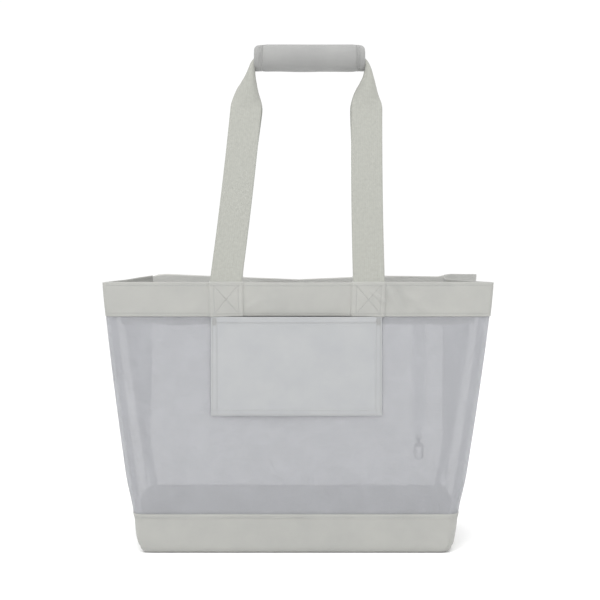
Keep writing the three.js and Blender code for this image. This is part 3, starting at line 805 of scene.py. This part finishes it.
def softened(ring, height, seed):
    """Pushes a ring's points in and out a little, along the outline's own normal."""
    ahead = np.roll(ring, -1, axis=0) - np.roll(ring, 1, axis=0)
    out = unit(stack(ahead[:, 1], -ahead[:, 0], 0))
    wave = crumple(ring * [1, 1, 1.4], 38 * MM, height, seed) + crumple(ring, 14 * MM, height * 0.3, seed + 1)
    return ring + out * np.clip(wave, -height, height)[:, None]


def boot_corner(z):
    """The upright corners' radius: tight at the board and open at the hem."""
    share = float(smooth(z, 6 * MM, BASE_TOP_Z))
    return BOOT_FLOOR_CORNER + (BOOT_TOP_CORNER - BOOT_FLOOR_CORNER) * share


def tray_rings(outer_inset, thick, floor_z, top_z, hem, seed):
    """Rings for an open tray: up its outside, over its lip and down its inside; hem is its fold's height."""
    walls = list(spread(BOOT_EDGE_RADIUS, top_z - 2 * MM, 2.2 * MM))
    edge = [BOOT_EDGE_RADIUS * (1 - math.cos(k * math.pi / 12)) for k in range(1, 6)]
    heights = [z for z in edge + walls if z > floor_z]
    hem_low = top_z - hem
    if hem:
        fine = list(spread(hem_low - 1.2 * MM, hem_low + 1.2 * MM, 0.3 * MM))
        heights = sorted([z for z in heights if abs(z - hem_low) > 1.3 * MM] + fine)
    rings = [boot_ring(outer_inset, floor_z, BOOT_FLOOR_CORNER)]
    for z in heights:
        raised = 0.0
        if hem:
            raised = 0.55 * MM * float(smooth(z, hem_low - 0.5 * MM, hem_low + 0.1 * MM))
            raised -= 0.35 * MM * float(bell(z, hem_low + 1.0 * MM, 0.4 * MM))
        held = float(smooth(z, floor_z, 12 * MM) * (1 - 0.7 * smooth(z, top_z - 8 * MM, top_z)))
        rings.append(softened(boot_ring(outer_inset - raised, z, boot_corner(z)), 0.9 * MM * held, seed))
    lip = 0.5 * MM if hem else 0.0
    for drop, share in ((0.5 * MM, 0.0), (0.0, 0.3), (0.0, 0.7), (0.5 * MM, 1.0)):
        inset = outer_inset - lip + (thick + lip) * share
        rings.append(boot_ring(inset, top_z - drop, boot_corner(top_z) - thick * share))
    for z in reversed([z for z in walls if z > floor_z + thick]):
        rings.append(softened(boot_ring(outer_inset + thick, z, boot_corner(z) - thick), 0.3 * MM, seed + 4))
    rings.append(boot_ring(outer_inset + thick, floor_z + thick, BOOT_FLOOR_CORNER - thick))
    return rings


BOOT_RINGS = tray_rings(0, BOOT_THICK, 0, BASE_TOP_Z, BOOT_HEM, 41)
LINING_RINGS = tray_rings(LINING_INSET, 0.7 * MM, BOARD_TOP + 0.3 * MM, BASE_TOP_Z - 2 * MM, 0, 51)
boot = belong(loft_object("boot", BOOT_RINGS, cloth), "bag", "cloth", ["base_boot"])
lining = belong(loft_object("lining", LINING_RINGS, lining_cloth), "bag", "lining", ["base_lining"])


# ---- inside seam bindings ----

BINDING_WIDTH = 8 * MM


def binding(name, facing, side):
    uu, zz = np.meshgrid(np.linspace(0, 1, 7), places(BASE_TOP_Z - 1 * MM, BAND_LOW_Z + 1 * MM, 6 * MM))
    crown = 0.35 * MM * np.sin(np.pi * uu)
    x = side * (half_width(zz) - 5 * MM - BINDING_WIDTH * uu)
    y = facing * (wall_depth(x, zz) - 0.8 * MM - crown)
    made = cloth_object(name, stack(x + lean(zz), y, zz), stack(x, zz), 0.8 * MM, seam_cloth)
    return belong(made, "bag", "binding_tape", [f"{name}_binding"])


BINDINGS = [binding(f"{face}_{hand}_seam", facing, side)
            for face, facing in (("front", -1), ("back", 1)) for hand, side in (("left", -1), ("right", 1))]


# ---- the patch pocket ----

POCKET_LOW, POCKET_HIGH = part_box("front_pocket")
POCKET_HEM = 7.6 * MM
POCKET_EDGE_STITCH = 1.6 * MM
POCKET_HEM_STITCH = POCKET_HEM - 1.4 * MM
POCKET_BULGE = 5.5 * MM


def pocket_piece():
    """A patch with hems on all four sides, slack in the middle and fuller towards its open top."""
    spans = [(POCKET_LOW.x, POCKET_HIGH.x), (POCKET_LOW.z, POCKET_HIGH.z)]
    x, z = (places(start, end, 3 * MM, [(start, start + POCKET_HEM + MM, 0.45 * MM),
                                        (end - POCKET_HEM - MM, end, 0.45 * MM)]) for start, end in spans)
    (left, right), (low, high) = spans
    xx, zz = np.meshgrid(x, z)
    flat = stack(xx, 0, zz)
    near_side = np.minimum(xx - left, right - xx)
    slack = (1 - np.abs(2 * (xx - left) / (right - left) - 1) ** 5) * ((zz - low) / (high - low)) ** 0.8
    soft = crumple(flat, 40 * MM, 1.1 * MM, 61) * smooth(near_side, 0, 15 * MM) * smooth(zz - low, 0, 15 * MM)
    hems = 1 - smooth(near_side, POCKET_HEM - 0.4 * MM, POCKET_HEM + 0.4 * MM)
    hems = np.maximum(hems, 1 - smooth(zz - low, POCKET_HEM - 1 * MM, POCKET_HEM - 0.2 * MM))
    hems = np.maximum(hems, smooth(zz, high - POCKET_HEM + 0.2 * MM, high - POCKET_HEM + 1 * MM))
    thick = 1.0 * MM + 0.8 * MM * hems
    for distance in (near_side - POCKET_EDGE_STITCH, near_side - POCKET_HEM + MM,
                     zz - low - POCKET_HEM_STITCH, high - zz - POCKET_HEM_STITCH):
        thick = thick - groove(distance, depth=0.5 * MM)
    out = half_depth(zz) + 1.3 * MM + POCKET_BULGE * slack + soft + 0.2 * MM * hems
    points = stack(xx, -out, zz)
    made = cloth_object("pocket", points, flat[..., ::2], thick, pocket_cloth)
    belong(made, "bag", "pocket_cloth", ["front_pocket"])
    return made, (x, z, points, thick)


pocket, pocket_grid = pocket_piece()


# ---- the straps ----

GRIP_LOW, GRIP_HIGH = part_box("grip_back_cover")
GRIP_Z = (GRIP_HIGH.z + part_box("grip_flap_cover")[0].z) / 2
GRIP_LEFT, GRIP_RIGHT = GRIP_LOW.x, GRIP_HIGH.x
STRAP_FLAT_X = (-65.6 * MM, 86.8 * MM)
STRAP_CURL_X = (-62.8 * MM, 88.2 * MM)
STRAP_FLAT_Z = RIM_Z + 218 * MM
STRAP_RIM_Y = 73.5 * MM
BUNDLE_Y = 4.9 * MM
CURL_HEIGHTS = np.array([-64, -50, -37, -23, -8]) * MM + GRIP_Z
CURL_TURNS = np.array([0, 1.9, 3.3, 5.8, 8.6])
PINCH_HEIGHTS = np.array([-30, -12]) * MM + GRIP_Z
PINCH_SHARES = np.array([1, 0.6])
SECTION_POINTS = 29
CURL_TIGHTNESS = 0.75


def spline(points, step):
    """A smooth curve through points, sampled about step apart."""
    points = np.asarray(points, float)
    before = 2 * points[0] - points[1]
    after = 2 * points[-1] - points[-2]
    knots = np.concatenate([[before], points, [after]])
    out = []
    for a, b, c, d in zip(knots, knots[1:], knots[2:], knots[3:]):
        count = max(2, int(np.linalg.norm(c - b) / step))
        for t in np.arange(count) / count:
            out.append(0.5 * (2 * b + (c - a) * t + (2 * a - 5 * b + 4 * c - d) * t**2
                              + (3 * b - a - 3 * c + d) * t**3))
    out.append(points[-1])
    return np.array(out)


def leg_points(facing, hand, rim_x):
    """From the sewn end up to the middle of the grip; hand is 0 for the left leg and 1 for the right."""
    side = (-1, 1)[hand]
    grip_x = (GRIP_LEFT, GRIP_RIGHT)[hand]
    flat_x = STRAP_FLAT_X[hand]
    turn_z = GRIP_Z - 8 * MM

    def y(z):
        if z < RIM_Z:
            return facing * (STRAP_RIM_Y + half_depth(z) - RIM_HALF_DEPTH)
        return facing * (STRAP_RIM_Y + (BUNDLE_Y - STRAP_RIM_Y) * (z - RIM_Z) / (turn_z - RIM_Z))

    sway = facing * side * 1.2 * MM
    sewn = [BAND_LOW_Z + 2 * MM, (BAND_LOW_Z + RIM_Z) / 2, RIM_Z - 6 * MM]
    points = [(rim_x, y(z) - facing * 2.3 * MM, z) for z in sewn]
    points.append((rim_x, y(RIM_Z) - facing * 1.2 * MM, RIM_Z))
    for share in (0.25, 0.5, 0.75):
        z = RIM_Z + (STRAP_FLAT_Z - RIM_Z) * share
        bow = 4 * share * (1 - share)
        points.append((rim_x + (flat_x - rim_x) * share + sway * bow, y(z) + facing * 2.5 * MM * bow, z))
    curl_z, pinch_z, bundle_y = GRIP_Z - 37 * MM, GRIP_Z - 16 * MM, facing * BUNDLE_Y
    return points + [(flat_x, y(STRAP_FLAT_Z), STRAP_FLAT_Z), (STRAP_CURL_X[hand], y(curl_z), curl_z),
                     (grip_x + side * 3.6 * MM, y(pinch_z), pinch_z), (grip_x, bundle_y, GRIP_Z - 6 * MM),
                     (grip_x - side * 9 * MM, bundle_y, GRIP_Z), (grip_x - side * 26 * MM, bundle_y, GRIP_Z)]


def curled_section(turn, tight):
    """The webbing's middle line across its width, curled through an angle, tighter towards one edge."""
    s = np.linspace(-0.5, 0.5, SECTION_POINTS)
    bend = turn * (1 + tight * s)
    angle = np.concatenate([[0], np.cumsum((bend[1:] + bend[:-1]) / 2 * np.diff(s))])
    angle -= np.interp(0, s, angle)
    step = np.diff(s) * STRAP_WIDTH
    middle = (angle[1:] + angle[:-1]) / 2
    a = np.concatenate([[0], np.cumsum(np.cos(middle) * step)])
    b = np.concatenate([[0], np.cumsum(np.sin(middle) * step)])
    a, b = a - a.mean(), b - b.mean()
    return a, b, angle


def strap_piece(name, facing, ends):
    """One handle's webbing, a ring of points round its section at each step of its line."""
    line = spline(leg_points(facing, 0, ends[0]) + leg_points(facing, 1, ends[1])[::-1], 3 * MM)
    normal = np.array([0.0, facing, 0.0])
    selvedge = bell(np.abs(np.linspace(-1, 1, SECTION_POINTS)), 0.95, 0.06)
    half_thick = STRAP_THICK / 2 * (1 + 0.12 * selvedge)[:, None]
    rings = []
    for centre, tangent in zip(line, unit(np.gradient(line, axis=0))):
        out = unit(normal - tangent * normal.dot(tangent))
        across = np.cross(tangent, out) * -facing
        tight = -CURL_TIGHTNESS if centre[0] > (GRIP_LEFT + GRIP_RIGHT) / 2 else CURL_TIGHTNESS
        a, b, angle = curled_section(np.interp(centre[2], CURL_HEIGHTS, CURL_TURNS), tight)
        a = a * np.interp(centre[2], PINCH_HEIGHTS, PINCH_SHARES)
        direction = across * np.cos(angle)[:, None] - out * np.sin(angle)[:, None]
        face = unit(np.cross(direction, tangent) * facing)
        mid = centre + across * a[:, None] - out * b[:, None]
        cap_high = mid[-1] + direction[-1] * STRAP_THICK * 0.35
        cap_low = mid[0] - direction[0] * STRAP_THICK * 0.35
        inner = (mid - face * half_thick)[::-1]
        rings.append(np.concatenate([mid + face * half_thick, [cap_high], inner, [cap_low]]))
    made = loft_object(name, rings, webbing)
    strap = name.replace("_webbing", "_strap")
    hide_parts(strap, f"{strap}_left_end", f"{strap}_right_end")
    return made


front_webbing = strap_piece("front_webbing", -1, FRONT_STRAPS)
back_webbing = strap_piece("back_webbing", 1, BACK_STRAPS)
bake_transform(front_webbing)
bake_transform(back_webbing)


# ---- the padded grip ----

GRIP_RADIUS = GRIP_HIGH.z - GRIP_Z
GRIP_INNER = 10.4 * MM
GRIP_LAP_INNER = 16.0 * MM
GRIP_BACK_END = -87.0
GRIP_FLAP_END = 267.0
LAP_START = 235.0
BACK_FOAM_END = -64.0
GRIP_STITCHES = (7.4 * MM, 10.6 * MM)


def grip_corner(angle):
    """The ends round off widely on top and tightly underneath: how far along, and how far in."""
    top = 0.5 + 0.5 * math.sin(math.radians(angle))
    along = (3.0 + 6.5 * top) * MM
    return along, min(along, GRIP_RADIUS - GRIP_LAP_INNER + 0.6 * MM if angle > LAP_START else 6.6 * MM)


def grip_profile(angle):
    """(x, radius) places from deep inside the left end, out, along the roll and back in at the right."""
    inner = GRIP_INNER
    if angle > LAP_START or angle < BACK_FOAM_END:
        edge = min(abs(angle - LAP_START), abs(angle - BACK_FOAM_END)) / 3
        inner = GRIP_INNER + (GRIP_LAP_INNER - GRIP_INNER) * float(smooth(edge, 0, 1))
    corner, corner_in = grip_corner(angle)
    left, right = GRIP_LEFT, GRIP_RIGHT
    lip = max(inner, GRIP_RADIUS - corner_in - 2 * MM)
    half = [(left + 14 * MM, inner), (left + 4 * MM, inner), (left + 0.6 * MM, min(inner + 0.8 * MM, lip))]
    for turn in np.arange(12, -1, -1) / 12 * math.pi / 2:
        half.append((left + corner * (1 - math.sin(turn)), GRIP_RADIUS - corner_in * (1 - math.cos(turn))))
    past_seams = left + GRIP_STITCHES[1] + 2 * MM
    half += [(x, GRIP_RADIUS) for x in np.linspace(left + corner, past_seams, 19)[1:]]
    along = [(x, GRIP_RADIUS) for x in np.linspace(past_seams, left + right - past_seams, 50)[1:-1]]
    return half + along + [(left + right - x, r) for x, r in half[::-1]]


def grip_wrap():
    """The roll, cut along its underside, with a finer hinge line on top."""
    angles = np.concatenate([np.linspace(GRIP_BACK_END, BACK_FOAM_END - 3, 6),
                             np.linspace(BACK_FOAM_END, 87, 46), [88.4, 89.0, 90.0, 91.0, 91.6],
                             np.linspace(93, LAP_START, 44), np.linspace(LAP_START + 3, GRIP_FLAP_END, 9)])
    x, radius = np.moveaxis(np.array([grip_profile(angle) for angle in angles]), -1, 0)
    turns = np.radians(angles)[:, None]
    sections = stack(x, radius * np.cos(turns), GRIP_Z + radius * np.sin(turns))
    radial = sections - np.array([0, 0, GRIP_Z])
    radial[..., 0] = 0
    size = np.linalg.norm(radial, axis=-1, keepdims=True)
    radial /= size
    outer = smooth(size[..., 0], GRIP_RADIUS - 1.5 * MM, GRIP_RADIUS - 0.2 * MM)
    soft = crumple(sections * [0.6, 1, 1], 22 * MM, 0.7 * MM, 71) - 0.3 * MM
    from_end = np.minimum(sections[..., 0] - GRIP_LEFT, GRIP_RIGHT - sections[..., 0])
    seams = sum(groove(from_end - at, 0.5 * MM, 0.6 * MM) for at in GRIP_STITCHES)
    puff = 0.5 * MM * smooth(from_end, GRIP_STITCHES[1], GRIP_STITCHES[1] + 6 * MM)
    lap = 0.5 * MM * smooth(angles, 200, 262)[:, None]
    hinge_still = smooth(np.abs(angles - 90), 0, 10)[:, None]
    move = outer * (np.clip(soft, -0.9 * MM, 0.3 * MM) * hinge_still - seams + (puff - 0.4 * MM) + lap)
    sections += radial * move[..., None]
    made = loft_object("grip_wrap", sections, grip_cloth)
    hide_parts("grip_back_cover", "grip_flap_cover", "grip_back_foam", "grip_flap_foam")
    return made


wrap = grip_wrap()
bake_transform(wrap)


# ---- the key leash ----

LEASH_LOW, LEASH_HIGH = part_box("leash_tape")
LEASH_X = (LEASH_LOW.x + LEASH_HIGH.x) / 2
LEASH_Y = sum(corner.y / 2 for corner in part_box("hook_body"))
LEASH_TOP = LEASH_HIGH.z
LEASH_WIDTH = 15 * MM
LEASH_TAIL = 8 * MM
LOOP_Z = LEASH_HIGH.z - 146.2 * MM
LOOP_RADIUS = 2.1 * MM
LOOP_WIDTH = 3.6 * MM


def leash_piece():
    """The tape runs down, narrows through the swivel's eye and comes back up as a short tail."""
    path = [(LEASH_Y, LEASH_TOP + 2 * MM), (LEASH_Y, LEASH_TOP - 60 * MM), (LEASH_Y, LOOP_Z + 20 * MM),
            (LEASH_Y - 0.9 * MM, LOOP_Z + 10 * MM), (LEASH_Y - 2 * MM, LOOP_Z + 3 * MM)]
    for turn in math.pi + np.arange(9) * math.pi / 8:
        path.append((LEASH_Y + LOOP_RADIUS * math.cos(turn), LOOP_Z + LOOP_RADIUS * math.sin(turn)))
    path += [(LEASH_Y + 2 * MM, LOOP_Z + 3 * MM), (LEASH_Y + 1.1 * MM, LOOP_Z + 9 * MM),
             (LEASH_Y + 0.9 * MM, LOOP_Z + 15 * MM)]
    line = spline([(0, y, z) for y, z in path], 2 * MM)
    at = np.concatenate([[0], np.cumsum(np.linalg.norm(np.diff(line, axis=0), axis=1))])
    past_loop = at - at[np.argmin(line[:, 2])]
    width = LOOP_WIDTH + (LEASH_WIDTH - LOOP_WIDTH) * smooth(np.abs(past_loop), 5 * MM, 20 * MM)
    width = np.where(past_loop > 0, np.minimum(width, LEASH_TAIL), width)[:, None]
    u = np.linspace(-1, 1, 25)
    pleat = (1 - (width - LOOP_WIDTH) / (LEASH_WIDTH - LOOP_WIDTH)) * 0.7 * MM * np.cos(2 * math.pi * u)
    points = stack(LEASH_X + u * width / 2, line[:, 1:2] + pleat, line[:, 2:])
    uvs = stack(*np.meshgrid(u * LEASH_WIDTH / 2, at))
    made = cloth_object("leash_ribbon", points, uvs, 0.9 * MM, tape_cloth)
    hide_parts("leash_tape")
    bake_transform(made)
    return made


ribbon = leash_piece()


def refined(node_name, body, slot, material, bevel):
    """A CAD piece with its edges broken and its curves shaded smooth."""
    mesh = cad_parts[node_name].data.copy()
    work = bmesh.new()
    work.from_mesh(mesh)
    bmesh.ops.remove_doubles(work, verts=work.verts, dist=1e-6)
    bmesh.ops.dissolve_limit(work, angle_limit=0.01, verts=work.verts, edges=work.edges)
    sharp = [e for e in work.edges if len(e.link_faces) == 2 and e.calc_face_angle(0) > math.radians(40)]
    bmesh.ops.bevel(work, geom=sharp, offset=bevel, segments=2, profile=0.6, affect="EDGES",
                    clamp_overlap=True)
    bmesh.ops.triangulate(work, faces=[f for f in work.faces if len(f.verts) > 4])
    work.to_mesh(mesh)
    work.free()
    mesh.polygons.foreach_set("use_smooth", np.ones(len(mesh.polygons), bool))
    mesh.set_sharp_from_angle(angle=math.radians(35))
    mesh.materials.clear()
    mesh.materials.append(material)
    return belong(placed(f"{node_name}_finished", mesh), body, slot, [node_name])


METAL_BEVEL = 0.15 * MM
METAL_BODIES = {"swivel_eye": "leash", "hook_body": "snap_hook", "swivel_rivet": "snap_hook",
                "gate_pin": "snap_hook", "hook_gate": "hook_gate"}
metal = {name: refined(name, body, "nickel", nickel, METAL_BEVEL) for name, body in METAL_BODIES.items()}

# The gate's back is eased, so that it clears the hook's slot when it is open.
GATE_EASE = 0.15 * MM
gate_vertices = metal["hook_gate"].data.vertices
gate_back = min(vertex.co.x for vertex in gate_vertices) + GATE_EASE
for vertex in gate_vertices:
    vertex.co.x = max(vertex.co.x, gate_back)

# These pieces keep their CAD shape and only take a look of their own.
KEPT_SHAPES = {"base_board": board, "grip_hook_strip": hook_loop, "grip_loop_strip": hook_loop}
for node_name, material in KEPT_SHAPES.items():
    kept_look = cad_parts[node_name].data.materials
    kept_look.clear()
    kept_look.append(material)


# ---- stitching ----

def on_grid(grid, facing, path):
    """Points and normals on a wall piece's outer face, at (x, z) places on it."""
    x, z, points, thick = grid
    normals = grid_normals(points)
    outer = points - facing * normals * (thick / 2)[..., None]
    spots, outs = [], []
    for place in path:
        i, j = (int(np.clip(np.searchsorted(marks, at) - 1, 0, len(marks) - 2))
                for marks, at in zip((x, z), place))
        s = (place[0] - x[i]) / (x[i + 1] - x[i])
        t = (place[1] - z[j]) / (z[j + 1] - z[j])
        spots.append(outer[j, i] * (1 - s) * (1 - t) + outer[j, i + 1] * s * (1 - t)
                     + outer[j + 1, i] * (1 - s) * t + outer[j + 1, i + 1] * s * t)
        outs.append(-facing * normals[j, i])
    return spots, outs


def line_between(start, end, step=2 * MM):
    count = max(2, int(math.dist(start, end) / step))
    return [(start[0] + (end[0] - start[0]) * k / count, start[1] + (end[1] - start[1]) * k / count)
            for k in range(count + 1)]


def band_runs(grid, facing, centres):
    """Rows along both edges of the band and a boxed X on each end of a strap."""
    low, high = BAND_LOW_Z + HEM_STRIP, RIM_Z - TOP_STITCH
    edge = RIM_HALF_WIDTH - 4 * MM
    runs = [on_grid(grid, facing, line_between((-edge, z), (edge, z))) for z in (low, high)]
    half = STRAP_WIDTH / 2 - BOX_INSET
    for c in centres:
        for start, end in (((c - half, low), (c - half, high)), ((c + half, low), (c + half, high)),
                           ((c - half, low), (c + half, high)), ((c - half, high), (c + half, low))):
            runs.append(on_grid(grid, facing, line_between(start, end, 1 * MM)))
    return runs


def pocket_runs():
    left, right, low, high = POCKET_LOW.x, POCKET_HIGH.x, POCKET_LOW.z, POCKET_HIGH.z
    runs = []
    for inset in (POCKET_EDGE_STITCH, POCKET_HEM - MM):
        for x in (left + inset, right - inset):
            runs.append(on_grid(pocket_grid, -1, line_between((x, low + 2 * MM), (x, high - MM))))
    for z in (low + POCKET_EDGE_STITCH, low + POCKET_HEM_STITCH, high - POCKET_HEM_STITCH):
        runs.append(on_grid(pocket_grid, -1, line_between((left + 2 * MM, z), (right - 2 * MM, z))))
    return runs


TACK_ROWS = 16
TACK_PITCH = 0.55 * MM
TACK_STITCH = 2.6 * MM


def tack_runs():
    """Bar tacks: close rows of thread across the pocket's top corners."""
    runs = []
    for x in (POCKET_LOW.x + POCKET_EDGE_STITCH, POCKET_HIGH.x - POCKET_HEM + MM):
        for row in range(TACK_ROWS):
            z = POCKET_HIGH.z - 1.5 * MM - row * TACK_PITCH
            runs.append(on_grid(pocket_grid, -1, [(x + k * TACK_STITCH, z) for k in range(3)]))
    return runs


def boot_run():
    z = BASE_TOP_Z - BOOT_HEM + 1.0 * MM
    ring = boot_ring(-0.15 * MM, z, boot_corner(z))
    ring = np.concatenate([ring, ring[:1]])
    ahead = np.gradient(ring, axis=0)
    return [(ring, stack(ahead[:, 1], -ahead[:, 0], 0))]


def grip_runs(start, end):
    """The rows of stitches round the roll near its two ends, between two angles."""
    turns = np.radians(np.linspace(start, end, 60))
    out = stack(0, np.cos(turns), np.sin(turns))
    ends = [GRIP_LEFT + s for s in GRIP_STITCHES] + [GRIP_RIGHT - s for s in GRIP_STITCHES]
    return [(np.array([x, 0, GRIP_Z]) + out * (GRIP_RADIUS - 0.75 * MM), out) for x in ends]


def sewn(name, runs, body, slot, **stitch):
    """Stitches that ride on one body."""
    belong(stitches_object(name, runs, thread, **stitch), body, slot)


band_stitches = band_runs(front_band_grid, -1, FRONT_STRAPS) + band_runs(back_band_grid, 1, BACK_STRAPS)
sewn("band_stitching", band_stitches, "bag", "cloth")
sewn("pocket_stitching", pocket_runs(), "bag", "pocket_cloth")
sewn("pocket_bar_tacks", tack_runs(), "bag", "pocket_cloth", pitch=2.7 * MM, length=TACK_STITCH)
sewn("boot_stitching", boot_run(), "bag", "cloth")
sewn("grip_back_stitching", grip_runs(-84, 87), "handles", "cloth")
sewn("grip_flap_stitching", grip_runs(93, 265), "grip_flap", "cloth")
